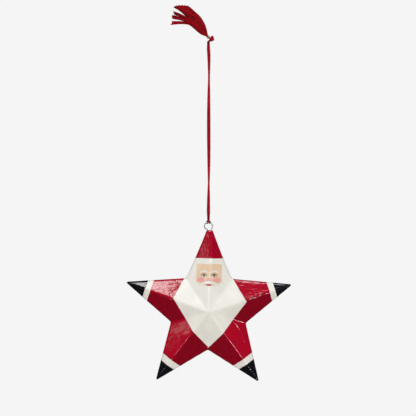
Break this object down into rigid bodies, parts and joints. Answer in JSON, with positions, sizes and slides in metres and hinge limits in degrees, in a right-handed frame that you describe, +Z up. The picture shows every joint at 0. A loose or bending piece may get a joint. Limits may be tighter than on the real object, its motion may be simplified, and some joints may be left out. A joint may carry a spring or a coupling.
{
  "type": "painted star ornament on a cord",
  "caption": "Faceted wooden star painted as a bearded winter folk figure, hung by a wire ring from a twisted red cotton cord with a tassel.",
  "frame": {"origin": "just under the stopper knot, where the cord loop hangs on its hook", "axes": "+Z up, -Y out of the painted front, +X to the right seen from the front"},
  "size_m": [0.1094, 0.0278, 0.2495],
  "materials": {
    "painted_wood": "gloss lacquer over paint",
    "wire": "satin",
    "red_cotton": "matte",
    "gold_thread": "satin"
  },
  "bodies": {
    "hanging_end": {"stopper_knot": "red_cotton"},
    "tassel": {"tassel_binding": "gold_thread", "tassel_yarns": "red_cotton"},
    "cord_legs": {"cord_leg_left": "red_cotton", "cord_leg_right": "red_cotton"},
    "hitch": {"ring_hitch": "red_cotton"},
    "star": {"star_head_point": "painted_wood", "star_left_arm_point": "painted_wood", "star_right_arm_point": "painted_wood", "star_left_leg_point": "painted_wood", "star_right_leg_point": "painted_wood", "wire_hanger": "wire"}
  },
  "joints": [
    {"name": "tassel_droop", "type": "hinge", "parent": "hanging_end", "child": "tassel", "pos_m": [-0.00005, 0, 0.0032], "axis": [0, -1, 0], "range_deg": [-45, 60]},
    {"name": "cord_twist", "type": "hinge", "parent": "hanging_end", "child": "cord_legs", "pos_m": [0, 0, 0], "axis": [0, 0, 1], "range_deg": [-180, 180]},
    {"name": "fore_aft_swing", "type": "hinge", "parent": "cord_legs", "child": "hitch", "pos_m": [0, 0, -0.1176], "axis": [1, 0, 0], "range_deg": [-60, 60]},
    {"name": "side_swing", "type": "hinge", "parent": "hitch", "child": "star", "pos_m": [0, 0, -0.12255], "axis": [0, 1, 0], "range_deg": [-60, 60]}
  ]
}
